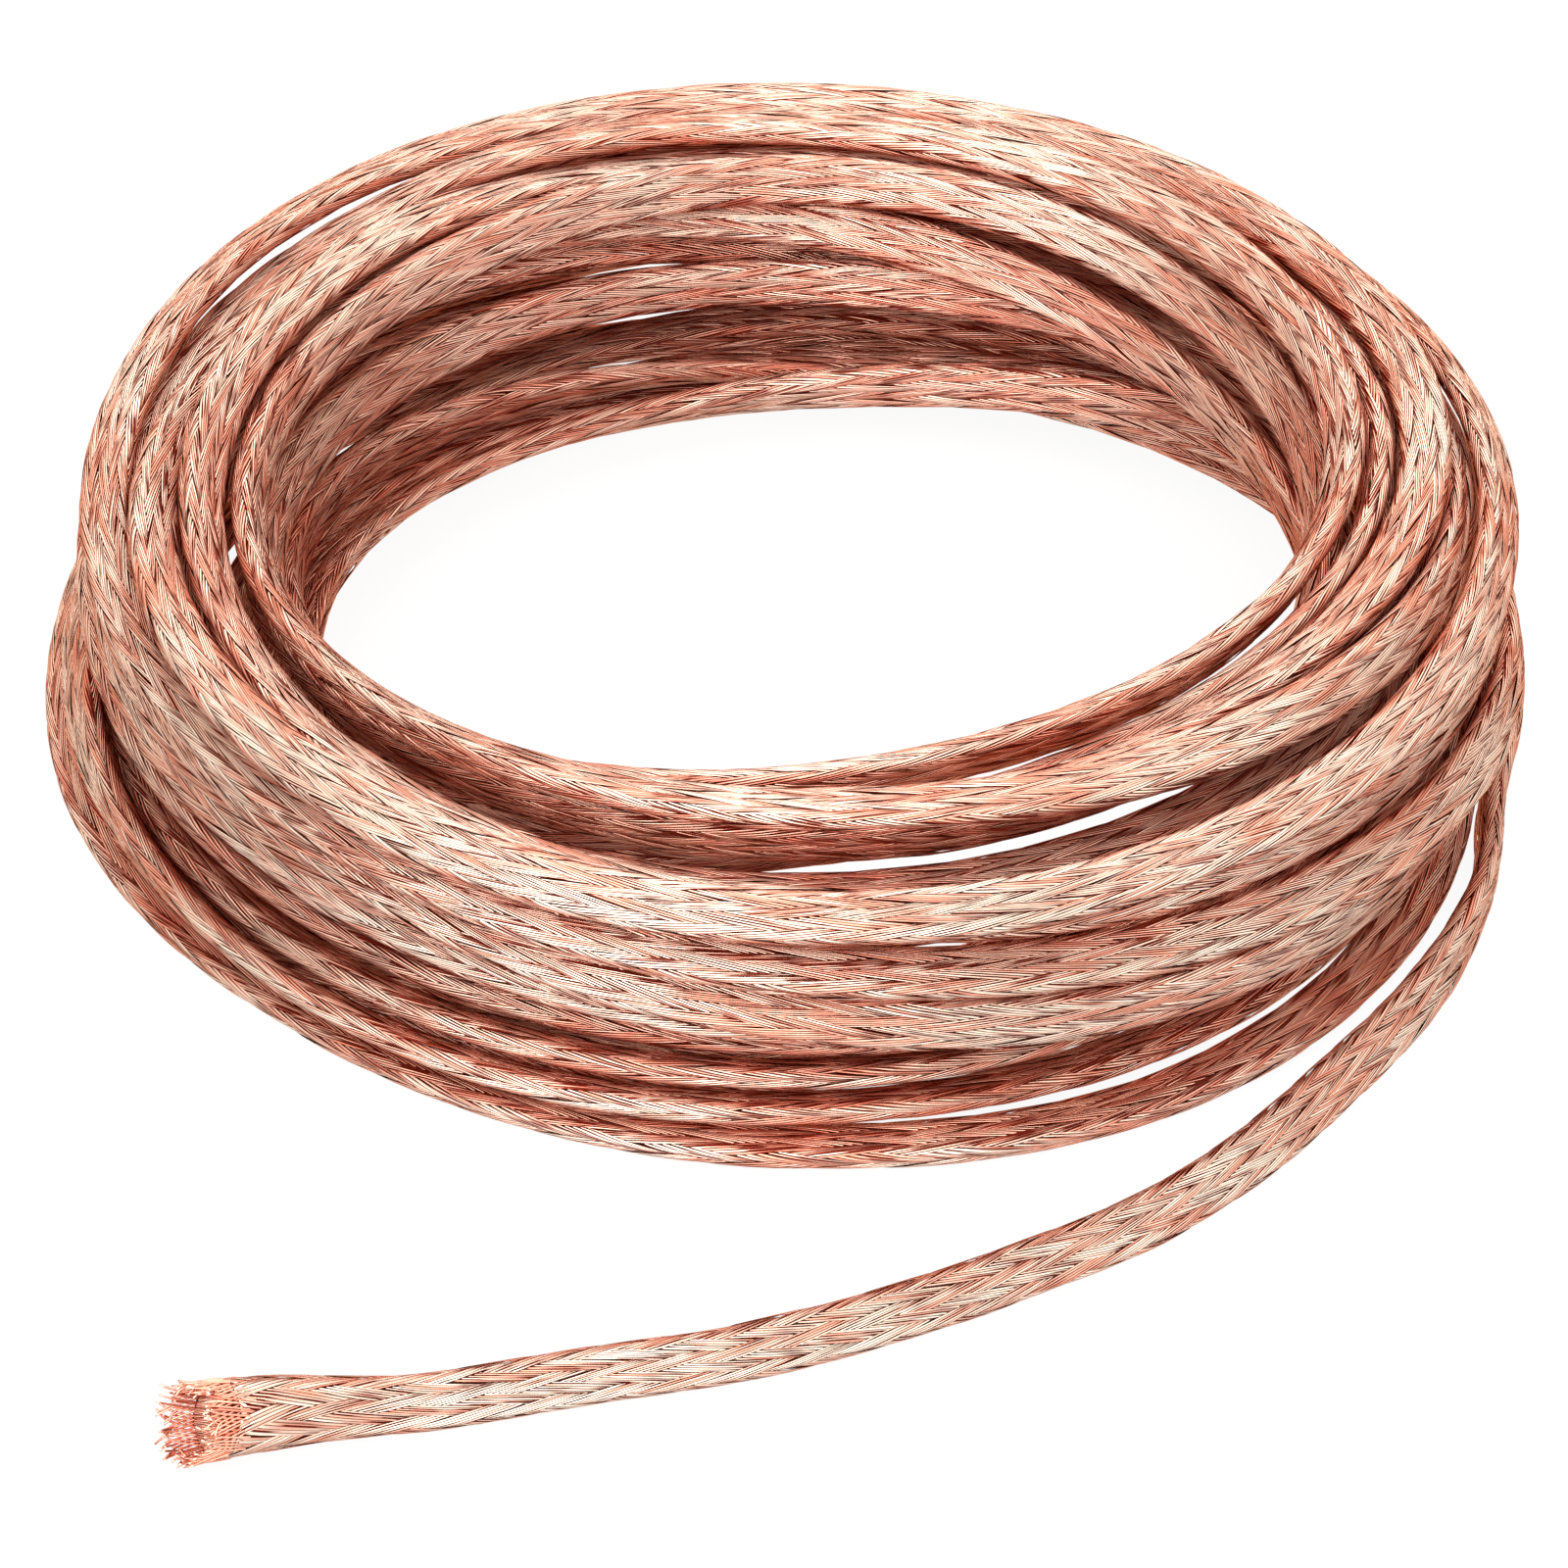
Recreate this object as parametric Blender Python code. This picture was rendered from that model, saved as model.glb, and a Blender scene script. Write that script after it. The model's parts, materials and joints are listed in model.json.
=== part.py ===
"""Flexible busbar braid: one length of bare copper tubular braid, pressed to a flat oval.

It is wound by hand into a loose coil. One end leaves the coil at the right, comes round the
front of it and ends in an open mouth of cut wires. Metres, +Z up, origin on the table under
the middle of the whole part.
"""
import math

import bmesh
import bpy
import numpy as np

# Section of the pressed braid: a flat oval, more box-like where section_power is smaller
braid_width = 0.0062
braid_thickness = 0.0030
section_power = 0.60
coil_section_sides = 8
tail_section_sides = 24
clearance = 0.0003

# Coil: the turns fill an oval bundle and twist round its middle. The bundle is narrower and
# a little higher on the right, towards +X
turns = 20
stations_per_turn = 32
joint_azimuth = -5.0
coil_radius = 0.0715
bundle_half_width = 0.0132
bundle_half_height = 0.0163
bundle_power = 0.8
right_narrowing = 0.36
right_rise = 0.10
lay_per_turn = math.radians(137.5)
first_lay = math.radians(235.0)
inner_reach = 0.42
inner_every = 4
lay_wander = math.radians(28.0)
lay_waves_per_turn = 0.83
lean_wander = math.radians(35.0)
lean_waves_per_turn = 1.3
radius_wander = 0.0018
radius_waves_per_turn = (1.63, 2.71)
height_wander = 0.0016
height_waves_per_turn = (1.41, 2.37)
second_wave_share = 0.7

# Spreading: the turns are worked out at finer stations, and grow from a thread to their full
# section in rounds in which turns that lie too close push each other apart
fine_per_station = 3
spread_rounds = 420
spread_room = 0.0004
crossing_reach = 4
lead_stations = 8
first_growth = 0.10
full_growth_round = 260
plan_pull = 0.012
push_strength = 1.5
twist_strength = 0.5
bend_smoothing = 0.25
late_smoothing_share = 0.2
smoothing_passes = 2

# Places where a turn has slipped out of the bundle: turns from the start of the winding,
# length in turns, and the way that the braid has moved outwards and upwards
slipped_places = [
    (1.78, 0.70, 0.004, -0.002),
    (2.74, 0.60, -0.005, 0.000),
    (3.28, 0.70, 0.004, -0.003),
    (6.84, 0.50, 0.003, -0.006),
    (7.72, 0.80, -0.016, -0.005),
    (7.95, 0.50, 0.002, 0.003),
    (8.26, 0.60, 0.006, -0.002),
    (10.76, 0.60, -0.008, 0.000),
    (12.26, 0.80, -0.004, 0.006),
    (13.30, 0.70, 0.008, -0.001),
    (14.78, 0.60, 0.007, 0.003),
    (15.24, 0.80, -0.007, 0.003),
    (15.78, 0.60, -0.014, -0.007),
    (16.28, 0.70, 0.005, -0.005),
    (16.90, 0.50, 0.004, -0.006),
]

# The outermost turn, which lies on the table in front, and the free end after it. Both are laid
# by hand: azimuth, distance outside coil_radius, lift of the lower edge over the table, and lean
# of the flat side, where 0 is upright and -90 is lying flat
laid_places = [
    (-5.0, 0.0085, 0.0060, -40.0),
    (-35.0, 0.0135, 0.0010, -75.0),
    (-60.0, 0.0147, 0.0000, -90.0),
    (-90.0, 0.0121, 0.0000, -90.0),
    (-130.0, 0.0097, 0.0000, -90.0),
    (-175.0, 0.0140, 0.0010, -60.0),
    (-215.0, 0.0158, 0.0070, -20.0),
    (-260.0, 0.0144, 0.0110, 0.0),
    (-320.0, 0.0145, 0.0070, 10.0),
    (-365.0, 0.0153, 0.0020, 10.0),
    (-377.2, 0.0153, 0.0000, 10.0),
    (-385.3, 0.0184, 0.0000, 4.0),
    (-392.4, 0.0204, 0.0000, -8.0),
    (-400.8, 0.0226, 0.0000, -28.0),
    (-409.6, 0.0250, 0.0000, -38.0),
    (-418.0, 0.0289, 0.0000, -42.0),
    (-427.1, 0.0335, 0.0000, -42.0),
    (-435.8, 0.0373, 0.0000, -42.0),
    (-444.7, 0.0424, 0.0000, -42.0),
    (-452.0, 0.0475, 0.0000, -42.0),
    (-459.7, 0.0530, 0.0000, -42.0),
    (-466.1, 0.0603, 0.0001, -40.0),
    (-472.0, 0.0684, 0.0004, -30.0),
    (-475.6, 0.0760, 0.0008, -20.0),
]
tail_step = 0.0085
lead_in_stations = 4

# Open mouth at the cut end
mouth_radius = 0.0044
mouth_flare_length = 0.026
mouth_wall = 0.0006
mouth_depth = 0.009
tuft_length = 0.0028
tuft_length_spread = 0.35
tuft_spread = math.radians(24.0)
tuft_taper = 0.6
tuft_inset_share = 0.12
sharp_angle = math.radians(50.0)


def smooth_read(keys, values, places):
    """Read a smooth curve through values, given at rising keys, at each of places."""
    slopes = np.gradient(values, keys, axis=0)
    piece = np.clip(np.searchsorted(keys, places, side="right") - 1, 0, len(keys) - 2)
    length = keys[piece + 1] - keys[piece]
    t = (places - keys[piece]) / length
    if values.ndim == 2:
        t = t[:, None]
        length = length[:, None]
    start = (2 * t**3 - 3 * t**2 + 1) * values[piece] + (t**3 - 2 * t**2 + t) * length * slopes[piece]
    end = (3 * t**2 - 2 * t**3) * values[piece + 1] + (t**3 - t**2) * length * slopes[piece + 1]
    return start + end


def planned_turns():
    """Radius, height and lean of every station as wound, before the turns are spread apart."""
    fine_per_turn = stations_per_turn * fine_per_station
    wound = (turns - 1) * fine_per_turn
    place = np.arange(wound) / fine_per_turn
    waver = 2 * math.pi * place
    lay = first_lay + lay_per_turn * place + lay_wander * np.sin(lay_waves_per_turn * waver)
    whole = np.arange(turns + 1)
    reach_by_turn = np.where(whole % inner_every == 0, inner_reach, 1.0)
    reach = smooth_read(whole.astype(float), reach_by_turn, place)
    outwards = np.sign(np.cos(lay)) * np.abs(np.cos(lay))**bundle_power
    upwards = np.sign(np.sin(lay)) * np.abs(np.sin(lay))**bundle_power
    on_right = np.clip(np.cos(math.radians(joint_azimuth) - waver), 0, None)**2
    narrower = bundle_half_width * right_narrowing * on_right
    radius = coil_radius + narrower + (bundle_half_width - narrower) * reach * outwards
    first, second = radius_waves_per_turn
    radius += radius_wander * (np.sin(first * waver + 1.0) + second_wave_share * np.sin(second * waver))
    half_height = bundle_half_height * (1 + right_rise * on_right)
    height = braid_thickness + half_height * (1 + reach * upwards)
    first, second = height_waves_per_turn
    height += height_wander * (np.sin(first * waver) + second_wave_share * np.sin(second * waver + 2.0))
    lean = -lay + lean_wander * np.sin(lean_waves_per_turn * waver)
    for middle, length, outwards, upwards in slipped_places:
        share = np.clip(1 - np.abs(place - middle) / (length / 2), 0, 1)
        share = share**2 * (3 - 2 * share)
        radius += outwards * share
        height += upwards * share
    last_radius, last_height, last_lean = planned_outer_turn()
    half_turns = round((lean[-1] - last_lean[0]) / math.pi)
    radius = np.concatenate([radius, last_radius])
    height = np.concatenate([height, last_height])
    lean = np.concatenate([lean, last_lean + half_turns * math.pi])
    return radius, height, lean, half_turns


def planned_outer_turn():
    """The outermost turn and the first of the free end after it, which the others must clear."""
    laid = np.array(laid_places)
    fine_per_turn = stations_per_turn * fine_per_station
    count = fine_per_turn + 1 + lead_stations
    read_at = 360.0 * np.arange(count) / fine_per_turn - joint_azimuth
    outwards, lift, lean = smooth_read(-laid[:, 0], laid[:, 1:], read_at).T
    lean = np.radians(np.maximum(lean, -90.0))
    return coil_radius + outwards, np.maximum(lift, 0.0) + resting_height(lean), lean


def resting_height(lean):
    """Height of the middle line where the leaning section just touches the table."""
    x, y = section(coil_section_sides, braid_width / 2, braid_thickness / 2, section_power)
    return np.max(-np.outer(np.cos(lean), x) - np.outer(np.sin(lean), y), axis=1)


def push_apart(radius, height, lean, held, growth):
    """One round of pushes between turns that come too close, at a share of their full section."""
    count = len(radius)
    columns = stations_per_turn * fine_per_station
    rows = -(-count // columns)
    arm = growth * (braid_width - braid_thickness) / 2
    arms = np.array([-arm, 0.0, arm])
    across = np.stack([np.sin(lean), np.cos(lean)])
    middle = np.stack([radius, height])
    discs = middle[:, None, :] + arms[None, :, None] * across[:, None, :]
    station = np.arange(rows)[:, None] * columns + np.arange(-crossing_reach, columns + crossing_reach)
    inside = (station >= 0) & (station < count)
    discs = np.where(inside, discs[:, :, np.clip(station, 0, count - 1)], np.nan)
    discs = discs.transpose(0, 2, 1, 3).reshape(2, rows * 3, -1)
    apart = discs[:, :, None, :] - discs[:, None, :, :]
    near = np.nan_to_num(apart)
    way = sum(near[..., i:i + columns] for i in range(2 * crossing_reach + 1))
    way /= np.sqrt((way**2).sum(axis=0)) + 1e-12
    distance = np.sqrt((apart[..., crossing_reach:-crossing_reach]**2).sum(axis=0))
    needed = growth * (braid_thickness + clearance + spread_room)
    own = np.kron(np.eye(rows), np.ones((3, 3)))[:, :, None] > 0
    overlap = np.where(own, 0.0, np.clip(needed - distance, 0.0, None))
    overlap = np.nan_to_num(overlap)
    push = (0.5 * overlap * way).sum(axis=2)
    push = push.reshape(2, rows, 3, columns).transpose(0, 2, 1, 3)
    push = push.reshape(2, 3, rows * columns)[:, :, :count]
    turned = np.stack([np.cos(lean), -np.sin(lean)])
    twist = (arms[:, None] * (push * turned[:, None, :]).sum(axis=0)).sum(axis=0) / (2 * arm**2)
    shift = push.mean(axis=1) * push_strength
    free = np.where(held, 0.0, 1.0)
    return radius + free * shift[0], height + free * shift[1], lean + twist_strength * free * twist


def smoothed(values, strength, held):
    """Take sharp bends out of a row of station values, leaving its ends and held stations."""
    for _ in range(smoothing_passes):
        bend = np.zeros_like(values)
        bend[1:-1] = values[:-2] - 2 * values[1:-1] + values[2:]
        values = values + np.where(held, 0.0, strength * bend)
    return values


def coil_stations():
    """Middle points and leans of the coil's stations, with the turns spread apart."""
    plan = planned_turns()
    radius, height, lean, half_turns = plan
    fine_per_turn = stations_per_turn * fine_per_station
    held = np.arange(len(radius)) >= (turns - 1) * fine_per_turn
    for step in range(spread_rounds):
        growth = min(1.0, first_growth + (1 - first_growth) * step / full_growth_round)
        late = step > full_growth_round
        pull = 0.0 if late else plan_pull
        strength = bend_smoothing * (late_smoothing_share if late else 1.0)
        radius = smoothed(radius + pull * (plan[0] - radius), strength, held)
        height = smoothed(height + pull * (plan[1] - height), strength, held)
        lean = smoothed(lean + pull * (plan[2] - lean), strength, held)
        radius, height, lean = push_apart(radius, height, lean, held, growth)
        height = np.maximum(height, resting_height(lean))
    azimuth = math.radians(joint_azimuth) - 2 * math.pi * np.arange(len(radius)) / fine_per_turn
    points = np.stack([radius * np.cos(azimuth), radius * np.sin(azimuth), height], axis=1)
    kept = slice(0, turns * fine_per_turn + 1, fine_per_station)
    return points[kept], lean[kept], half_turns


def frames(points, lean):
    """Unit vectors along the braid, across its flat side and out of its flat side."""
    along = np.gradient(points, axis=0)
    along /= np.linalg.norm(along, axis=1)[:, None]
    up = np.array([0.0, 0.0, 1.0])
    outward = np.cross(up, along)
    outward /= np.linalg.norm(outward, axis=1)[:, None]
    across = np.sin(lean)[:, None] * outward + np.cos(lean)[:, None] * up
    across -= (across * along).sum(axis=1)[:, None] * along
    across /= np.linalg.norm(across, axis=1)[:, None]
    return along, across, np.cross(along, across)


def section(sides, half_width, half_thickness, power):
    """Corners of the flat oval section, the first pair of faces being its flat sides."""
    angle = (np.arange(sides) + 0.5) * 2 * math.pi / sides
    x = np.sign(np.cos(angle)) * np.abs(np.cos(angle))**power
    y = np.sign(np.sin(angle)) * np.abs(np.sin(angle))**power
    return half_width * x / x.max(), half_thickness * y / y.max()


def ring_points(point, across, normal, sides, half_width, half_thickness, power):
    """Corners of one section, set across the braid at a point."""
    x, y = section(sides, half_width, half_thickness, power)
    return point + x[:, None] * across + y[:, None] * normal


def tail_route(coil_points, coil_lean, half_turns):
    """Stations of the free end from the coil's last station to the mouth, at table height."""
    laid = np.array(laid_places)
    laid = laid[laid[:, 0] < joint_azimuth - 360.0]
    azimuth = np.radians(laid[:, 0])
    radius = coil_radius + laid[:, 1]
    by_hand = np.stack([radius * np.cos(azimuth), radius * np.sin(azimuth)], axis=1)
    lift = coil_points[-lead_in_stations:, 2] - resting_height(coil_lean[-lead_in_stations:])
    points = np.concatenate([coil_points[-lead_in_stations:, :2], by_hand])
    lift = np.concatenate([lift, laid[:, 2]])
    lean = np.concatenate([coil_lean[-lead_in_stations:], np.radians(laid[:, 3]) + half_turns * math.pi])
    steps = np.linalg.norm(np.diff(points, axis=0), axis=1)
    place = np.concatenate([[0.0], np.cumsum(steps)])
    start = place[lead_in_stations - 1] + clearance
    count = round((place[-1] - start) / tail_step)
    read_at = np.linspace(start, place[-1], count + 1)
    flat_points = smooth_read(place, points, read_at)
    lift = np.maximum(smooth_read(place, lift, read_at), 0.0)
    lean = smooth_read(place, lean, read_at)
    to_mouth = place[-1] - read_at
    half_width, half_thickness, power = tail_section(to_mouth)
    height = lift.copy()
    for i in range(len(height)):
        x, y = section(tail_section_sides, half_width[i], half_thickness[i], power[i])
        height[i] += np.max(-x * np.cos(lean[i]) - y * np.sin(lean[i]))
    return np.column_stack([flat_points, height]), lean, to_mouth


def tail_section(to_mouth):
    """Half width, half thickness and power of the section, which opens to the round mouth."""
    open_share = np.clip(1 - to_mouth / mouth_flare_length, 0, 1)
    open_share = open_share**2 * (3 - 2 * open_share)
    half_width = braid_width / 2 + open_share * (mouth_radius - braid_width / 2)
    half_thickness = braid_thickness / 2 + open_share * (mouth_radius - braid_thickness / 2)
    return half_width, half_thickness, section_power + open_share * (1 - section_power)


def add_ring(mesh, corners):
    return [mesh.verts.new(corner) for corner in corners]


def bridge(mesh, ring, following):
    for i in range(len(ring)):
        j = (i + 1) % len(ring)
        mesh.faces.new((ring[i], ring[j], following[j], following[i]))


def finish_object(name, mesh, material):
    bmesh.ops.recalc_face_normals(mesh, faces=mesh.faces)
    data = bpy.data.meshes.new(name)
    mesh.to_mesh(data)
    mesh.free()
    data.materials.append(material)
    data.shade_smooth()
    data.set_sharp_from_angle(angle=sharp_angle)
    item = bpy.data.objects.new(name, data)
    bpy.context.collection.objects.link(item)
    return item


def copper_material(name, color):
    material = bpy.data.materials.new(name)
    material.use_nodes = True
    shader = material.node_tree.nodes["Principled BSDF"]
    shader.inputs["Base Color"].default_value = (*color, 1.0)
    shader.inputs["Roughness"].default_value = 0.35
    shader.inputs["Metallic"].default_value = 1.0
    return material


def coil_rings(points, lean):
    """Rings of the coil, and the frame of its end face, where the free end starts."""
    along, across, normal = frames(points, lean)
    rings = []
    for i in range(len(points)):
        rings.append(ring_points(points[i], across[i], normal[i], coil_section_sides,
                                 braid_width / 2, braid_thickness / 2, section_power))
    return rings, (along[-1], across[-1], normal[-1])


def tail_rings(points, lean, to_mouth, joint_frame):
    """Outer rings of the free end, which opens from the flat oval to the round mouth."""
    along, across, normal = frames(points, lean)
    along[0], across[0], normal[0] = joint_frame
    half_width, half_thickness, power = tail_section(to_mouth)
    rings = []
    for i in range(len(points)):
        rings.append(ring_points(points[i], across[i], normal[i], tail_section_sides,
                                 half_width[i], half_thickness[i], power[i]))
    return rings, along


def build_coil(rings, material):
    mesh = bmesh.new()
    loops = [add_ring(mesh, ring) for ring in rings]
    for ring, following in zip(loops, loops[1:]):
        bridge(mesh, ring, following)
    mesh.faces.new(loops[0])
    mesh.faces.new(loops[-1])
    return finish_object("braid_coil", mesh, material)


def build_tail(rings, points, along, to_mouth, material):
    """Free end with its hollow mouth and a tuft of cut wires on each stretch of the rim."""
    mesh = bmesh.new()
    loops = [add_ring(mesh, ring) for ring in rings]
    for ring, following in zip(loops, loops[1:]):
        bridge(mesh, ring, following)
    mesh.faces.new(loops[0])
    inner = []
    for i in reversed(range(len(rings))):
        if to_mouth[i] > mouth_depth:
            break
        middle = points[i]
        offset = rings[i] - middle
        size = np.linalg.norm(offset, axis=1)[:, None]
        inner.append(add_ring(mesh, middle + offset * (1 - mouth_wall / size)))
    for ring, following in zip(inner, inner[1:]):
        bridge(mesh, ring, following)
    mesh.faces.new(inner[-1])
    rim = []
    for i in range(tail_section_sides):
        j = (i + 1) % tail_section_sides
        rim.append(mesh.faces.new((loops[-1][i], loops[-1][j], inner[0][j], inner[0][i])))
    add_tufts(mesh, rim, points[-1], along[-1])
    return finish_object("braid_tail", mesh, material)


def add_tufts(mesh, rim, middle, forward):
    """Draw each face of the rim out into a tuft that leans with its carrier, left or right."""
    bmesh.ops.recalc_face_normals(mesh, faces=mesh.faces)
    bmesh.ops.inset_individual(mesh, faces=rim, thickness=mouth_wall * tuft_inset_share)
    drawn = bmesh.ops.extrude_discrete_faces(mesh, faces=rim)["faces"]
    for i, face in enumerate(drawn):
        centre = np.array(face.calc_center_median())
        out = centre - middle
        out -= out.dot(forward) * forward
        out /= np.linalg.norm(out)
        side = np.cross(forward, out)
        lean = tuft_spread if i % 2 else -tuft_spread
        length = tuft_length * (1.0 - tuft_length_spread * ((i * 7) % 5) / 4)
        way = forward * math.cos(lean) + side * math.sin(lean) * 0.5 + out * 0.25 * (i % 3)
        for corner in face.verts:
            corner.co = centre + tuft_taper * (np.array(corner.co) - centre) + length * way


def main():
    for item in list(bpy.data.objects):
        bpy.data.objects.remove(item)
    points, lean, half_turns = coil_stations()
    tail, tail_lean, to_mouth = tail_route(points, lean, half_turns)
    rings, joint_frame = coil_rings(points, lean)
    outer_rings, along = tail_rings(tail, tail_lean, to_mouth, joint_frame)
    corners = np.concatenate(rings + outer_rings)
    shift = np.array([*((corners.min(axis=0) + corners.max(axis=0)) / 2)[:2], corners[:, 2].min()])
    copper = copper_material("bare_copper", (0.80, 0.42, 0.29))
    build_coil([ring - shift for ring in rings], copper)
    build_tail([ring - shift for ring in outer_rings], tail - shift, along, to_mouth, copper)


main()
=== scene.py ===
"""Looks of the flexible busbar braid: every float of the copper plait as its own raised patch of wires."""

import json
import math

import bpy
import numpy as np
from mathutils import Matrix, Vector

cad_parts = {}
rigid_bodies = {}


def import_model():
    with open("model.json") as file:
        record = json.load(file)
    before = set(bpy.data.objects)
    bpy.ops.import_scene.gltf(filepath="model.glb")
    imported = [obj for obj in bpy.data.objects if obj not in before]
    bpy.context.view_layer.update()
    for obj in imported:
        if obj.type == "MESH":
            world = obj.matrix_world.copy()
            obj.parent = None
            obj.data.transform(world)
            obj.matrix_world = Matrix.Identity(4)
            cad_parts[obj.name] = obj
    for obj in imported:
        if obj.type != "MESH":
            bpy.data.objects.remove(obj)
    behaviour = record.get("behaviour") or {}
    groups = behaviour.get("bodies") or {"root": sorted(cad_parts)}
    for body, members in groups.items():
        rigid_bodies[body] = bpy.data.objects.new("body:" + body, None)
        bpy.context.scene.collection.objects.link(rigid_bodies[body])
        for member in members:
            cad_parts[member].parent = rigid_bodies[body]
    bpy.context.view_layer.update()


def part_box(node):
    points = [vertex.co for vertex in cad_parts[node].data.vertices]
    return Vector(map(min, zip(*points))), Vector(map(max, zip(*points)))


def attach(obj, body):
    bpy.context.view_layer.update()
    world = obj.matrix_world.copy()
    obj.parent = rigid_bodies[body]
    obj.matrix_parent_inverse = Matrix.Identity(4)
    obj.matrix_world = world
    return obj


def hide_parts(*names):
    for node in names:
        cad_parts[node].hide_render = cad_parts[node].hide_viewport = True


# Section of the pressed braid: a flat oval, more box-like where section_power is smaller
braid_width = 0.0062
braid_thickness = 0.0030
section_power = 0.60
coil_section_sides = 8
tail_section_sides = 24
clearance = 0.0003

# Coil: the turns fill an oval bundle and twist round its middle. The bundle is narrower and
# a little higher on the right, towards +X
turns = 20
stations_per_turn = 32
joint_azimuth = -5.0
coil_radius = 0.0715
bundle_half_width = 0.0132
bundle_half_height = 0.0163
bundle_power = 0.8
right_narrowing = 0.36
right_rise = 0.10
lay_per_turn = math.radians(137.5)
first_lay = math.radians(235.0)
inner_reach = 0.42
inner_every = 4
lay_wander = math.radians(28.0)
lay_waves_per_turn = 0.83
lean_wander = math.radians(35.0)
lean_waves_per_turn = 1.3
radius_wander = 0.0018
radius_waves_per_turn = (1.63, 2.71)
height_wander = 0.0016
height_waves_per_turn = (1.41, 2.37)
second_wave_share = 0.7

# Spreading: the turns are worked out at finer stations, and grow from a thread to their full
# section in rounds in which turns that lie too close push each other apart
fine_per_station = 3
spread_rounds = 420
spread_room = 0.0004
crossing_reach = 4
lead_stations = 8
first_growth = 0.10
full_growth_round = 260
plan_pull = 0.012
push_strength = 1.5
twist_strength = 0.5
bend_smoothing = 0.25
late_smoothing_share = 0.2
smoothing_passes = 2

# Places where a turn has slipped out of the bundle: turns from the start of the winding,
# length in turns, and the way that the braid has moved outwards and upwards
slipped_places = [
    (1.78, 0.70, 0.004, -0.002),
    (2.74, 0.60, -0.005, 0.000),
    (3.28, 0.70, 0.004, -0.003),
    (6.84, 0.50, 0.003, -0.006),
    (7.72, 0.80, -0.016, -0.005),
    (7.95, 0.50, 0.002, 0.003),
    (8.26, 0.60, 0.006, -0.002),
    (10.76, 0.60, -0.008, 0.000),
    (12.26, 0.80, -0.004, 0.006),
    (13.30, 0.70, 0.008, -0.001),
    (14.78, 0.60, 0.007, 0.003),
    (15.24, 0.80, -0.007, 0.003),
    (15.78, 0.60, -0.014, -0.007),
    (16.28, 0.70, 0.005, -0.005),
    (16.90, 0.50, 0.004, -0.006),
]

# The outermost turn, which lies on the table in front, and the free end after it. Both are listed
# place by place: azimuth, distance outside coil_radius, lift of the lower edge over the table, and lean
# of the flat side, where 0 is upright and -90 is lying flat
laid_places = [
    (-5.0, 0.0085, 0.0060, -40.0),
    (-35.0, 0.0135, 0.0010, -75.0),
    (-60.0, 0.0147, 0.0000, -90.0),
    (-90.0, 0.0121, 0.0000, -90.0),
    (-130.0, 0.0097, 0.0000, -90.0),
    (-175.0, 0.0140, 0.0010, -60.0),
    (-215.0, 0.0158, 0.0070, -20.0),
    (-260.0, 0.0144, 0.0110, 0.0),
    (-320.0, 0.0145, 0.0070, 10.0),
    (-365.0, 0.0153, 0.0020, 10.0),
    (-377.2, 0.0153, 0.0000, 10.0),
    (-385.3, 0.0184, 0.0000, 4.0),
    (-392.4, 0.0204, 0.0000, -8.0),
    (-400.8, 0.0226, 0.0000, -28.0),
    (-409.6, 0.0250, 0.0000, -38.0),
    (-418.0, 0.0289, 0.0000, -42.0),
    (-427.1, 0.0335, 0.0000, -42.0),
    (-435.8, 0.0373, 0.0000, -42.0),
    (-444.7, 0.0424, 0.0000, -42.0),
    (-452.0, 0.0475, 0.0000, -42.0),
    (-459.7, 0.0530, 0.0000, -42.0),
    (-466.1, 0.0603, 0.0001, -40.0),
    (-472.0, 0.0684, 0.0004, -30.0),
    (-475.6, 0.0760, 0.0008, -20.0),
]
tail_step = 0.0065
lead_in_stations = 4

# Open mouth at the cut end
mouth_radius = 0.0044
mouth_flare_length = 0.026
mouth_depth = 0.009

# The braid's middle line and section as the pieces of this scene read them
route_step = 0.001
oval_points = 721
direction_reach = 0.004

# The plait: carriers of wires side by side, over two and under two. Its lead is longer in the coil
carriers = 24
wires_per_carrier = 5
wire_diameter = 0.00025
carrier_lead = 0.091
coil_lead = 0.120

# Floats: relief is half of how far the wires rise and dive, and lengths along them are in crossings
relief = 0.00015
crown = 0.00008
float_reach = 1.30
float_skew = -0.5
dive_start = 0.45
dive_run = 1.1
end_taper = 0.06
width_spread = 0.07
drift_spread = 0.05
turn_spread = 0.05
height_spread = 0.00004
float_steps = 7
float_strips = 4
float_pieces = 5

# Core: the tube of deeper wires, which turns inwards at the mouth
core_inset = 0.00048
core_step = 0.004
core_sides = 16
inner_rings = 4

# Copper: every wire's own tint between bright and dull, duller stretches and patches, and painted
# shade: darkened parts of wires, as if they lay deeper, darkened edges of each wire, as in the grooves
# between them, a dark copy for the core below the floats, and redder, darker colours where other
# turns cover the surface. Runs are the changes along a wire in one wire diameter, and
# spreads are the changes from one wire to the next
bright_copper = (0.97, 0.83, 0.70)
dull_copper = (0.81, 0.39, 0.28)
tint_contrast = 2.8
tint_spread = 7.31
tint_run = 0.03
dull_share = 0.42
patch_contrast = 1.6
patch_scale = 55.0
patch_detail = 3.0
stretch_contrast = 2.0
stretch_spread = 0.02
stretch_run = 0.010
# Painted shade on parts of wires, as if they lay deeper: dark stretches at random along them
deep_shade_contrast = 7.0
deep_shade_spread = 3.77
deep_shade_run = 0.05
deep_shade_share = 0.22
deep_shade_width = 0.50
deep_shade_darkness = 1.0
# Painted shade in the grooves between wires: each wire's edges darken towards a dark red, which also
# colours the deeper-lying parts
groove_shade_start = 0.60
groove_shade_strength = 0.95
crevice_shade_color = (0.10, 0.004, 0.001)
shaded_bright = (0.40, 0.08, 0.035)
shaded_dull = (0.20, 0.03, 0.012)
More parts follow.
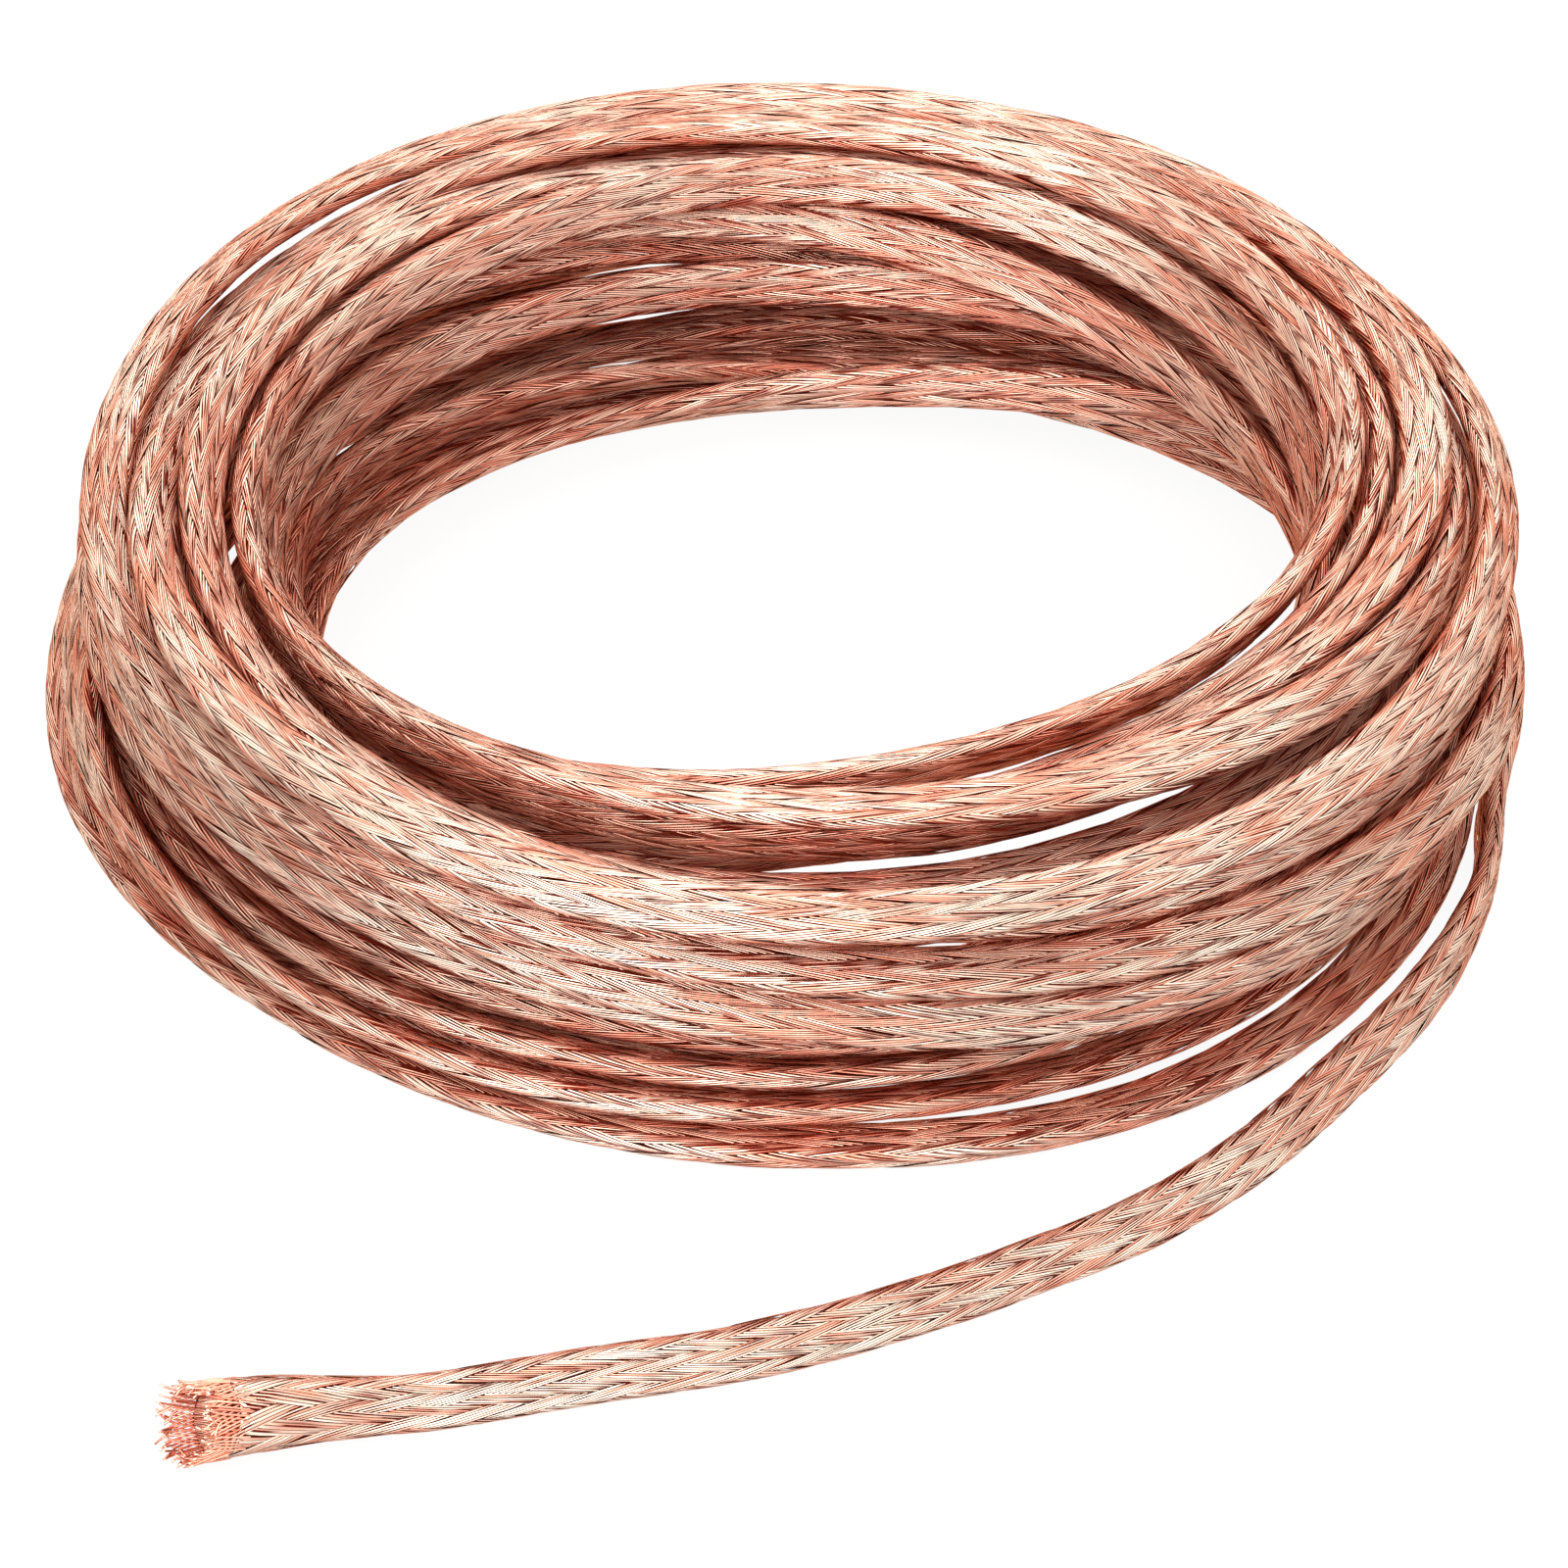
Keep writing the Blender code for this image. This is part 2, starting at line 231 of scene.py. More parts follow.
# Painted shade: redder, darker copper where other turns cover the surface
painted_shade_bright = (0.86, 0.26, 0.13)
painted_shade_dull = (0.58, 0.07, 0.024)
grazing_tint = (0.80, 0.40, 0.26)
wire_roughness = 0.28
shaded_roughness = 0.45
dull_roughness = 0.12

# Cover: how far other turns close off each place on the surface, read on a coarse grid. It sets
# painted shade, redder and darker copper colours where the braid is covered. Stretches
# of the braid within cover_own of a place are its own turn, and don't count
cover_step = 0.004
cover_sides = 12
cover_stride = 3
cover_probe = 0.001
cover_reach = 0.0020
cover_own = 0.012
cover_gain = 1.4
cover_power = 1.3
# Painted shade inside the mouth, a fixed share of the redder, darker copper
inner_painted_shade = 0.6

# Loose wires at the mouth: the cut is oblique, and short on the side that faces up and to the front
cut_slope = 0.0038
cut_short_side = (0.1, -0.6, 0.8)
cut_spread = 0.0008
loose_length = 0.0022
loose_start = 1.3
bunch_width = 1.0
wire_spread = 0.002
end_length = 0.0026
shortest_end = 0.35
flare_spread = 0.22
flare_lean = -0.05
swing_spread = 0.30
loose_steps = 6
end_steps = 5
end_sides = 6
# Painted shade on the loose wire ends, a fixed share of the redder, darker copper
end_painted_shade = 0.85
bare_side = 0.75
end_run = 3.0

# Photograph: its side in pixels, the camera's height over the table, and the scale at the aim
photo_side = 1600
camera_elevation = math.radians(38.0)
camera_distance = 0.850
pixels_per_metre = 8600.0
sensor_width = 36.0
aim_before_middle = 0.0165

# Stage: a white ground, a warm surround that is white to the camera, and lamps given by name,
# place, size and power
ground_half_size = 3.0
ground_below = 0.0002
ground_color = (0.92, 0.92, 0.92)
ground_whiteness = 0.92
white = (1.0, 1.0, 1.0)
warm_shade = (1.0, 0.88, 0.80)
surround_strength = 1.27
lamp_aim = (0.0, 0.0, 0.02)
lamps = [
    ("key_lamp", (-0.25, -0.95, 0.95), 2.0, 31.0),
    ("fill_lamp", (0.9, -0.3, 0.6), 0.8, 2.0),
    ("back_lamp", (0.1, 0.9, 0.7), 0.8, 3.0),
]


def smooth_read(keys, values, places):
    """Read a smooth curve through values, given at rising keys, at each of places."""
    slopes = np.gradient(values, keys, axis=0)
    piece = np.clip(np.searchsorted(keys, places, side="right") - 1, 0, len(keys) - 2)
    length = keys[piece + 1] - keys[piece]
    t = (places - keys[piece]) / length
    if values.ndim == 2:
        t = t[:, None]
        length = length[:, None]
    start = (2 * t**3 - 3 * t**2 + 1) * values[piece] + (t**3 - 2 * t**2 + t) * length * slopes[piece]
    end = (3 * t**2 - 2 * t**3) * values[piece + 1] + (t**3 - t**2) * length * slopes[piece + 1]
    return start + end


def planned_turns():
    """Radius, height and lean of every station as wound, before the turns are spread apart."""
    fine_per_turn = stations_per_turn * fine_per_station
    wound = (turns - 1) * fine_per_turn
    place = np.arange(wound) / fine_per_turn
    waver = 2 * math.pi * place
    lay = first_lay + lay_per_turn * place + lay_wander * np.sin(lay_waves_per_turn * waver)
    whole = np.arange(turns + 1)
    reach_by_turn = np.where(whole % inner_every == 0, inner_reach, 1.0)
    reach = smooth_read(whole.astype(float), reach_by_turn, place)
    outwards = np.sign(np.cos(lay)) * np.abs(np.cos(lay))**bundle_power
    upwards = np.sign(np.sin(lay)) * np.abs(np.sin(lay))**bundle_power
    on_right = np.clip(np.cos(math.radians(joint_azimuth) - waver), 0, None)**2
    narrower = bundle_half_width * right_narrowing * on_right
    radius = coil_radius + narrower + (bundle_half_width - narrower) * reach * outwards
    first, second = radius_waves_per_turn
    radius += radius_wander * (np.sin(first * waver + 1.0) + second_wave_share * np.sin(second * waver))
    half_height = bundle_half_height * (1 + right_rise * on_right)
    height = braid_thickness + half_height * (1 + reach * upwards)
    first, second = height_waves_per_turn
    height += height_wander * (np.sin(first * waver) + second_wave_share * np.sin(second * waver + 2.0))
    lean = -lay + lean_wander * np.sin(lean_waves_per_turn * waver)
    for middle, length, outwards, upwards in slipped_places:
        share = np.clip(1 - np.abs(place - middle) / (length / 2), 0, 1)
        share = share**2 * (3 - 2 * share)
        radius += outwards * share
        height += upwards * share
    last_radius, last_height, last_lean = planned_outer_turn()
    half_turns = round((lean[-1] - last_lean[0]) / math.pi)
    radius = np.concatenate([radius, last_radius])
    height = np.concatenate([height, last_height])
    lean = np.concatenate([lean, last_lean + half_turns * math.pi])
    return radius, height, lean, half_turns


def planned_outer_turn():
    """The outermost turn and the first of the free end after it, which the others must clear."""
    laid = np.array(laid_places)
    fine_per_turn = stations_per_turn * fine_per_station
    count = fine_per_turn + 1 + lead_stations
    read_at = 360.0 * np.arange(count) / fine_per_turn - joint_azimuth
    outwards, lift, lean = smooth_read(-laid[:, 0], laid[:, 1:], read_at).T
    lean = np.radians(np.maximum(lean, -90.0))
    return coil_radius + outwards, np.maximum(lift, 0.0) + resting_height(lean), lean


def resting_height(lean):
    """Height of the middle line where the leaning section just touches the table."""
    x, y = section(coil_section_sides, braid_width / 2, braid_thickness / 2, section_power)
    return np.max(-np.outer(np.cos(lean), x) - np.outer(np.sin(lean), y), axis=1)


def push_apart(radius, height, lean, held, growth):
    """One round of pushes between turns that come too close, at a share of their full section."""
    count = len(radius)
    columns = stations_per_turn * fine_per_station
    rows = -(-count // columns)
    arm = growth * (braid_width - braid_thickness) / 2
    arms = np.array([-arm, 0.0, arm])
    across = np.stack([np.sin(lean), np.cos(lean)])
    middle = np.stack([radius, height])
    discs = middle[:, None, :] + arms[None, :, None] * across[:, None, :]
    station = np.arange(rows)[:, None] * columns + np.arange(-crossing_reach, columns + crossing_reach)
    inside = (station >= 0) & (station < count)
    discs = np.where(inside, discs[:, :, np.clip(station, 0, count - 1)], np.nan)
    discs = discs.transpose(0, 2, 1, 3).reshape(2, rows * 3, -1)
    apart = discs[:, :, None, :] - discs[:, None, :, :]
    near = np.nan_to_num(apart)
    way = sum(near[..., i:i + columns] for i in range(2 * crossing_reach + 1))
    way /= np.sqrt((way**2).sum(axis=0)) + 1e-12
    distance = np.sqrt((apart[..., crossing_reach:-crossing_reach]**2).sum(axis=0))
    needed = growth * (braid_thickness + clearance + spread_room)
    own = np.kron(np.eye(rows), np.ones((3, 3)))[:, :, None] > 0
    overlap = np.where(own, 0.0, np.clip(needed - distance, 0.0, None))
    overlap = np.nan_to_num(overlap)
    push = (0.5 * overlap * way).sum(axis=2)
    push = push.reshape(2, rows, 3, columns).transpose(0, 2, 1, 3)
    push = push.reshape(2, 3, rows * columns)[:, :, :count]
    turned = np.stack([np.cos(lean), -np.sin(lean)])
    twist = (arms[:, None] * (push * turned[:, None, :]).sum(axis=0)).sum(axis=0) / (2 * arm**2)
    shift = push.mean(axis=1) * push_strength
    free = np.where(held, 0.0, 1.0)
    return radius + free * shift[0], height + free * shift[1], lean + twist_strength * free * twist


def smoothed(values, strength, held):
    """Take sharp bends out of a row of station values, leaving its ends and held stations."""
    for _ in range(smoothing_passes):
        bend = np.zeros_like(values)
        bend[1:-1] = values[:-2] - 2 * values[1:-1] + values[2:]
        values = values + np.where(held, 0.0, strength * bend)
    return values


def coil_stations():
    """Middle points and leans of the coil's fine stations, with the turns spread apart."""
    plan = planned_turns()
    radius, height, lean, half_turns = plan
    fine_per_turn = stations_per_turn * fine_per_station
    held = np.arange(len(radius)) >= (turns - 1) * fine_per_turn
    for step in range(spread_rounds):
        growth = min(1.0, first_growth + (1 - first_growth) * step / full_growth_round)
        late = step > full_growth_round
        pull = 0.0 if late else plan_pull
        strength = bend_smoothing * (late_smoothing_share if late else 1.0)
        radius = smoothed(radius + pull * (plan[0] - radius), strength, held)
        height = smoothed(height + pull * (plan[1] - height), strength, held)
        lean = smoothed(lean + pull * (plan[2] - lean), strength, held)
        radius, height, lean = push_apart(radius, height, lean, held, growth)
        height = np.maximum(height, resting_height(lean))
    azimuth = math.radians(joint_azimuth) - 2 * math.pi * np.arange(len(radius)) / fine_per_turn
    points = np.stack([radius * np.cos(azimuth), radius * np.sin(azimuth), height], axis=1)
    kept = slice(0, turns * fine_per_turn + 1)
    return points[kept], lean[kept], half_turns


def frames(points, lean):
    """Unit vectors along the braid, across its flat side and out of its flat side."""
    along = np.gradient(points, axis=0)
    along /= np.linalg.norm(along, axis=1)[:, None]
    up = np.array([0.0, 0.0, 1.0])
    outward = np.cross(up, along)
    outward /= np.linalg.norm(outward, axis=1)[:, None]
    across = np.sin(lean)[:, None] * outward + np.cos(lean)[:, None] * up
    across -= (across * along).sum(axis=1)[:, None] * along
    across /= np.linalg.norm(across, axis=1)[:, None]
    return along, across, np.cross(along, across)


def section(sides, half_width, half_thickness, power):
    """Corners of the flat oval section, the first pair of faces being its flat sides."""
    angle = (np.arange(sides) + 0.5) * 2 * math.pi / sides
    x = np.sign(np.cos(angle)) * np.abs(np.cos(angle))**power
    y = np.sign(np.sin(angle)) * np.abs(np.sin(angle))**power
    return half_width * x / x.max(), half_thickness * y / y.max()


def tail_route(coil_points, coil_lean, half_turns):
    """Stations of the free end from the coil's last station to the mouth, at table height."""
    laid = np.array(laid_places)
    laid = laid[laid[:, 0] < joint_azimuth - 360.0]
    azimuth = np.radians(laid[:, 0])
    radius = coil_radius + laid[:, 1]
    by_hand = np.stack([radius * np.cos(azimuth), radius * np.sin(azimuth)], axis=1)
    lift = coil_points[-lead_in_stations:, 2] - resting_height(coil_lean[-lead_in_stations:])
    points = np.concatenate([coil_points[-lead_in_stations:, :2], by_hand])
    lift = np.concatenate([lift, laid[:, 2]])
    lean = np.concatenate([coil_lean[-lead_in_stations:], np.radians(laid[:, 3]) + half_turns * math.pi])
    steps = np.linalg.norm(np.diff(points, axis=0), axis=1)
    place = np.concatenate([[0.0], np.cumsum(steps)])
    start = place[lead_in_stations - 1] + clearance
    count = round((place[-1] - start) / tail_step)
    read_at = np.linspace(start, place[-1], count + 1)
    flat_points = smooth_read(place, points, read_at)
    lift = np.maximum(smooth_read(place, lift, read_at), 0.0)
    lean = smooth_read(place, lean, read_at)
    to_mouth = place[-1] - read_at
    half_width, half_thickness, power = tail_section(to_mouth)
    height = lift.copy()
    for i in range(len(height)):
        x, y = section(tail_section_sides, half_width[i], half_thickness[i], power[i])
        height[i] += np.max(-x * np.cos(lean[i]) - y * np.sin(lean[i]))
    return np.column_stack([flat_points, height]), lean, to_mouth


def tail_section(to_mouth):
    """Half width, half thickness and power of the section, which opens to the round mouth."""
    share = open_share(to_mouth)
    half_width = braid_width / 2 + share * (mouth_radius - braid_width / 2)
    half_thickness = braid_thickness / 2 + share * (mouth_radius - braid_thickness / 2)
    return half_width, half_thickness, section_power + share * (1 - section_power)


def open_share(to_mouth):
    """Share of the way from the flat oval to the round mouth."""
    share = np.clip(1 - to_mouth / mouth_flare_length, 0, 1)
    return share**2 * (3 - 2 * share)


class Route:
    """The braid's whole middle line at close steps, from the hidden end to the mouth."""

    def __init__(self):
        coil, coil_lean, half_turns = coil_stations()
        coarse = coil[::fine_per_station]
        tail, tail_lean, _ = tail_route(coarse, coil_lean[::fine_per_station], half_turns)
        points = np.concatenate([coil, tail[1:]])
        lean = np.concatenate([coil_lean, tail_lean[1:]])
        place = np.concatenate([[0.0], np.cumsum(np.linalg.norm(np.diff(points, axis=0), axis=1))])
        self.length = place[-1]
        self.coil_length = place[len(coil) - 1]
        self.shift = self.cad_shift(coarse, coil_lean[::fine_per_station])
        self.place = np.linspace(0.0, self.length, round(self.length / route_step) + 1)
        self.points = smooth_read(place, points, self.place) - self.shift
        lean = smooth_read(place, lean, self.place)
        self.along, self.across, self.normal = frames(self.points, lean)
        self.ovals = [self.oval(section_power), self.oval(1.0)]

    @staticmethod
    def cad_shift(points, lean):
        """What was taken off the CAD coil's corners to centre the part, from its packed box."""
        _, across, normal = frames(points, lean)
        x, y = section(coil_section_sides, braid_width / 2, braid_thickness / 2, section_power)
        corners = points[:, None] + x[:, None] * across[:, None] + y[:, None] * normal[:, None]
        return corners.reshape(-1, 3).min(axis=0) - np.array(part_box("braid_coil")[0])

    @staticmethod
    def oval(power):
        """A unit oval by shares of its length round: x, y as shares of the half sizes."""
        angle = np.linspace(0, 2 * math.pi, oval_points)
        x = np.sign(np.cos(angle)) * np.abs(np.cos(angle))**power
        y = np.sign(np.sin(angle)) * np.abs(np.sin(angle))**power
        ratio = 1.0 if power == 1.0 else braid_thickness / braid_width
        steps = np.hypot(np.diff(x), ratio * np.diff(y))
        share = np.concatenate([[0.0], np.cumsum(steps)])
        return share / share[-1], x, y

    def read(self, values, place):
        """Read points or unit vectors of the middle line at places along the braid."""
        return np.stack([np.interp(place, self.place, values[:, i]) for i in range(3)], axis=-1)

    def drawn_out(self, place):
        """Real place of a place counted along the plait, whose lead is longer in the coil."""
        coil_end = self.coil_length * carrier_lead / coil_lead
        in_free_end = place - coil_end + self.coil_length
        return np.where(place < coil_end, place * coil_lead / carrier_lead, in_free_end)

    def plait_length(self):
        """The braid's whole length as counted along the plait."""
        return self.coil_length * carrier_lead / coil_lead + self.length - self.coil_length

    def cut_place(self, share):
        """Place along the braid where the oblique cut lies at shares round the section."""
        rim = self.surface(self.length + 0 * share, share, 0.0, 0.0) - self.points[-1]
        rim /= np.linalg.norm(rim, axis=-1)[..., None]
        facing = rim @ (np.array(cut_short_side) / np.linalg.norm(cut_short_side))
        return self.length - cut_slope * (1 + facing) / 2

    def surface(self, place, share, inset, lift):
        """Points at shares round the section, inset from the braid's outside and lifted again."""
        opened = open_share(self.length - place)
        share = share % 1.0
        half_width = braid_width / 2 + opened * (mouth_radius - braid_width / 2) - inset
        half_thickness = braid_thickness / 2 + opened * (mouth_radius - braid_thickness / 2) - inset
        corner = []
        for offset in (0.0, direction_reach, -direction_reach):
            x = 0.0
            y = 0.0
            for (keys, across, out), part in zip(self.ovals, (1 - opened, opened)):
                at = (share + offset) % 1.0
                x = x + part * np.interp(at, keys, across)
                y = y + part * np.interp(at, keys, out)
            corner.append((x * half_width, y * half_thickness))
        x, y = corner[0]
        run_x = corner[1][0] - corner[2][0]
        run_y = corner[1][1] - corner[2][1]
        size = np.hypot(run_x, run_y) + 1e-12
        x = x + lift * run_y / size
        y = y - lift * run_x / size
        middle = self.read(self.points, place)
        across = self.read(self.across, place)
        normal = self.read(self.normal, place)
        return middle + x[..., None] * across + y[..., None] * normal


def new_object(name, vertices, faces, material):
    """A smooth mesh object from arrays of vertices and of faces that all have as many corners."""
    data = bpy.data.meshes.new(name)
    data.vertices.add(len(vertices))
    data.vertices.foreach_set("co", np.ascontiguousarray(vertices, np.float32).ravel())
    data.loops.add(faces.size)
    data.loops.foreach_set("vertex_index", faces.astype(np.int32).ravel())
    data.polygons.add(len(faces))
    data.polygons.foreach_set("loop_start", np.arange(0, faces.size, faces.shape[1], dtype=np.int32))
    data.update(calc_edges=True)
    data.validate()
    data.shade_smooth()
    data.materials.append(material)
    item = bpy.data.objects.new(name, data)
    bpy.context.collection.objects.link(item)
    return item


def write_uv(item, name, values):
    """Write a UV layer from one pair of numbers for each vertex."""
    data = item.data
    index = np.zeros(len(data.loops), np.int32)
    data.loops.foreach_get("vertex_index", index)
    layer = data.uv_layers.new(name=name)
    layer.data.foreach_set("uv", np.ascontiguousarray(values[index], np.float32).ravel())


def grid_faces(count, rows, columns):
    """Quads of count separate grids of rows by columns vertices."""
    row = np.arange(rows - 1)[:, None]
    column = np.arange(columns - 1)[None, :]
    corner = row * columns + column
    quad = np.stack([corner, corner + 1, corner + columns + 1, corner + columns], axis=-1).reshape(-1, 4)
    return (np.arange(count)[:, None, None] * rows * columns + quad[None]).reshape(-1, 4)


def float_centres(length):
    """Place, share round, slant and carrier number of the middle of every float."""
    # Over two and under two: a carrier's floats come back at every fourth crossing
    each_way = carriers // 2
    spacing = carrier_lead / carriers
    found = []
    for carrier in range(each_way):
        first = math.ceil((2 * carrier - 0.5) / 4)
        last = math.floor((length / spacing + 2 * carrier - 0.5) / 4)
        group = np.arange(first, last + 1)
        place = (4 * group - 2 * carrier + 0.5) * spacing
        share = place / carrier_lead + carrier / each_way
        found.append(np.stack([place, share, np.full(len(group), 1.0), np.full(len(group), carrier)]))
        place = (2 * carrier - 4 * group - 2.5) * spacing
        place = place + math.ceil((length - place.max()) / (4 * spacing)) * 4 * spacing
        place = place[(place >= 0) & (place <= length)]
        share = -place / carrier_lead + carrier / each_way
        number = np.full(len(place), each_way + carrier)
        found.append(np.stack([place, share, np.full(len(place), -1.0), number]))
    return np.concatenate(found, axis=1)


class ShadeCover:
    """How much of what each place on the braid's surface faces is other turns of the coil, for the painted
    shade in the copper colour.
    """

    def __init__(self, route):
        self.place = np.arange(0.0, route.length, cover_step)
        share = np.arange(cover_sides) / cover_sides
        place = self.place[:, None] + 0 * share
        share = share[None] + 0 * place
        points = route.surface(place, share, 0.0, 0.0)
        out = (route.surface(place, share, 0.0, cover_probe) - points) / cover_probe
        other = route.points[::cover_stride].astype(np.float32)
        other_place = route.place[::cover_stride]
        self.grid = np.zeros(place.shape)
        for i in range(len(self.place)):
            way = other[None] - points[i][:, None].astype(np.float32)
            square = (way**2).sum(axis=2)
            facing = (way * out[i][:, None]).sum(axis=2) / np.sqrt(square)
            near = np.minimum(cover_reach**2 / square, 1.0) * np.clip(facing, 0.0, None)
            near[:, np.abs(other_place - self.place[i]) < cover_own] = 0.0
            self.grid[i] = (1 - np.exp(-cover_gain * near.sum(axis=1)))**cover_power

    def read(self, place, share):
        """Cover at places along the braid and shares round it."""
        row = np.clip(place / cover_step, 0, len(self.place) - 1.001)
        column = (share % 1.0) * cover_sides
        i = row.astype(int)
        j = column.astype(int) % cover_sides
        down = row - i
        right = column - np.floor(column)
        after = (j + 1) % cover_sides
        near = self.grid[i, j] * (1 - right) + self.grid[i, after] * right
        far = self.grid[i + 1, j] * (1 - right) + self.grid[i + 1, after] * right
        return near * (1 - down) + far * down


def build_floats(route, shade_cover, material):
    """The floats: where a carrier's wires pass over two others, as raised patches of wires."""
    rng = np.random.default_rng(7)
    place, share, slant, carrier = float_centres(route.plait_length())
    start = route.drawn_out(place - float_reach * carrier_lead / carriers)
    inside_cut = start < route.cut_place(share) - loose_length
    place, share, slant, carrier = [values[inside_cut] for values in (place, share, slant, carrier)]
    order = np.argsort(place)
    place, share, slant, carrier = place[order], share[order], slant[order], carrier[order]
    count = len(place)
    spacing = carrier_lead / carriers
    along = np.linspace(-float_reach, float_reach, float_steps + 1)
    strip = np.linspace(-1.0, 1.0, float_strips + 1)
    width = (1.0 / carriers) * (1 + width_spread * rng.standard_normal(count))
    drift = drift_spread / carriers * rng.standard_normal(count)
    turn = turn_spread / carriers * rng.standard_normal(count)
    height = height_spread * rng.standard_normal(count)
    skew = float_skew * slant[:, None, None] * strip[None, None, :]
    at = place[:, None, None] + spacing * (along[None, :, None] + skew)
    at = np.clip(at, 0.0, route.plait_length())
    taper = 1 - end_taper * np.clip(np.abs(along) / float_reach, 0, 1)**2
    across = strip[None, None, :] * width[:, None, None] * taper[None, :, None]
    round_share = share[:, None, None] + slant[:, None, None] * (at - place[:, None, None]) / carrier_lead
    round_share = round_share + across + drift[:, None, None] + turn[:, None, None] * along[None, :, None]
    dive = np.clip((np.abs(along) - dive_start) / dive_run, 0, 1)
    lift = relief * np.cos(math.pi * dive)[None, :, None] + crown * (1 - strip**2)[None, None, :]
    lift = lift + height[:, None, None]
    at = route.drawn_out(at)
    last = route.cut_place(round_share) - loose_length
    cut_off = (at <= 0.0) | (at >= last)
    at = np.minimum(at, last)
    inset = 2 * relief + crown
    vertices = route.surface(at, round_share, inset, relief + lift)
    wire = (strip[None, None, :] + 1) / 2 * wires_per_carrier + wires_per_carrier * carrier[:, None, None]
    wire = np.broadcast_to(wire, at.shape)
    uv = np.stack([wire, at / wire_diameter], axis=-1)
    # Share of painted shade where other turns cover the float
    painted_shade = shade_cover.read(at, round_share)
    rows, columns = float_steps + 1, float_strips + 1
    pieces = []
    for number, chosen in enumerate(np.array_split(np.arange(count), float_pieces)):
        faces = grid_faces(len(chosen), rows, columns)
        flipped = np.repeat(slant[chosen] > 0, (rows - 1) * (columns - 1))
        faces[flipped] = faces[flipped][:, ::-1]
        faces = faces[~cut_off[chosen].reshape(-1)[faces].all(axis=1)]
        item = new_object(f"braid_floats_{number + 1}", vertices[chosen].reshape(-1, 3), faces, material)
        write_uv(item, "wires", uv[chosen].reshape(-1, 2))
        write_uv(item, "shade_cover", np.repeat(painted_shade[chosen].reshape(-1, 1), 2, axis=1))
        pieces.append(item)
    return pieces


def build_core(route, shade_cover, material, inner_material):
    """The shaded tube of wires below the floats, hollow at the mouth."""
    place = np.linspace(0.0, route.length, round(route.length / core_step) + 1)
    share = np.arange(core_sides) / core_sides
    end = route.cut_place(share) - loose_length
    outer = np.minimum(place[:, None], end[None])
    grid = route.surface(outer, share[None] + 0 * outer, core_inset, 0.0)
    inner = end[None] - np.linspace(0.0, mouth_depth, inner_rings)[:, None]
    within = route.surface(inner, share[None] + 0 * inner, core_inset + wire_diameter, 0.0)
    rings = np.concatenate([grid, within])
    row = np.arange(len(rings) - 1)[:, None] * core_sides
    side = np.arange(core_sides)[None, :]
    after = (side + 1) % core_sides
    faces = np.stack([row + side, row + after, row + core_sides + after, row + core_sides + side], axis=-1)
    item = new_object("braid_core", rings.reshape(-1, 3), faces.reshape(-1, 4), material)
    at = np.concatenate([outer, inner])
    around = share[None] * carriers * wires_per_carrier + 0 * at
    write_uv(item, "wires", np.stack([around, at / wire_diameter], axis=-1).reshape(-1, 2))
    # Share of painted shade on the core, and a fixed share on the inner wall of the mouth
    painted_shade = shade_cover.read(at, share[None] + 0 * at)
    painted_shade[len(place):] = inner_painted_shade
    write_uv(item, "shade_cover", np.repeat(painted_shade.reshape(-1, 1), 2, axis=1))
    item.data.materials.append(inner_material)
    slots = np.zeros(len(faces) * core_sides, np.int32)
    slots[(len(place) - 1) * core_sides:] = 1
    item.data.polygons.foreach_set("material_index", slots)
    return item, place


